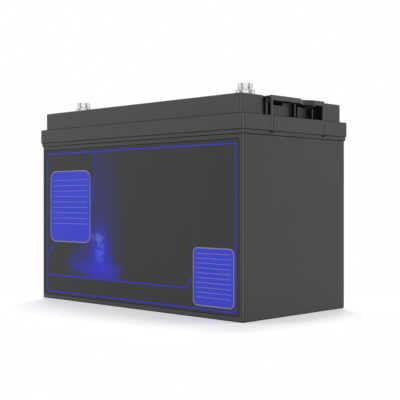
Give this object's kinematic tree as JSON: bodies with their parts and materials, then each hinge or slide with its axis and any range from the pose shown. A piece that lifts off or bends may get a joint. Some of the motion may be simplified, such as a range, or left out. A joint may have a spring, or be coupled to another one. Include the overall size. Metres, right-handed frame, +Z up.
{
  "type": "deep cycle battery",
  "caption": "Deep cycle lithium battery: charcoal moulded case with a stepped lid, swing-out end handles in pockets, bolted posts on top and the cell pack and control board inside.",
  "frame": {"origin": "middle of the base, on the surface that the battery stands on", "axes": "+X along the case from the positive to the negative post, -Y out of the labelled front, +Z up"},
  "size_m": [0.33, 0.172, 0.237],
  "materials": {
    "case_plastic": "fine moulded texture, charcoal",
    "handle_plastic": "smooth moulded, charcoal",
    "label_film": "satin printed film",
    "nickel": "bright nickel plate",
    "bolt_steel": "turned, bright",
    "zinc_steel": "zinc plate",
    "seal_rubber": "matt",
    "cell_film": "blue shrink film over an aluminium can",
    "insulating_sheet": "pressed fibre sheet",
    "plate_aluminium": "extruded",
    "band_steel": "rolled strip",
    "foam": "closed-cell foam",
    "copper": "bare copper",
    "bracket_paint": "powder coat",
    "board_green": "solder mask",
    "black_plastic": "moulded",
    "ivory_plastic": "moulded",
    "ribbon_film": "amber film",
    "module_blue": "solder mask with a metal can"
  },
  "bodies": {
    "case": {"case": "case_plastic", "lid": "case_plastic", "lid_seal": "seal_rubber", "front_label": "label_film", "positive_post": "nickel", "negative_post": "nickel", "positive_gasket": "seal_rubber", "negative_gasket": "seal_rubber", "post_nuts": "zinc_steel", "cell_1": "cell_film", "cell_2": "cell_film", "cell_3": "cell_film", "cell_4": "cell_film", "cell_sheets": "insulating_sheet", "end_plate_left": "plate_aluminium", "end_plate_right": "plate_aluminium", "compression_bands": "band_steel", "floor_pad": "foam", "side_pads": "foam", "end_pad": "foam", "cell_cover": "insulating_sheet", "series_links": "copper", "cell_bolts": "zinc_steel", "positive_strap": "copper", "pack_negative_strap": "copper", "output_strap": "copper", "board_bracket": "bracket_paint", "control_board": "board_green", "board_screws": "zinc_steel", "power_transistors": "black_plastic", "heat_sink": "plate_aluminium", "sense_plug": "ivory_plastic", "sense_ribbon": "ribbon_film", "temperature_probe": "black_plastic", "wireless_module": "module_blue"},
    "handle_right": {"handle_right": "handle_plastic"},
    "handle_left": {"handle_left": "handle_plastic"},
    "positive_bolt": {"positive_bolt": "bolt_steel", "positive_lock_washer": "bolt_steel", "positive_plain_washer": "bolt_steel"},
    "negative_bolt": {"negative_bolt": "bolt_steel", "negative_lock_washer": "bolt_steel", "negative_plain_washer": "bolt_steel"}
  },
  "joints": [
    {"name": "right_handle_hinge", "type": "hinge", "parent": "case", "child": "handle_right", "pos_m": [0.1623, 0, 0.1889], "axis": [0, 1, 0], "range_deg": [0, 90]},
    {"name": "left_handle_hinge", "type": "hinge", "parent": "case", "child": "handle_left", "pos_m": [-0.1623, 0, 0.1889], "axis": [0, -1, 0], "range_deg": [0, 90]},
    {"name": "positive_bolt_lift", "type": "slide", "parent": "case", "child": "positive_bolt", "axis": [0, 0, 1], "range_m": [0, 0.02]},
    {"name": "negative_bolt_lift", "type": "slide", "parent": "case", "child": "negative_bolt", "axis": [0, 0, 1], "range_m": [0, 0.02]}
  ]
}
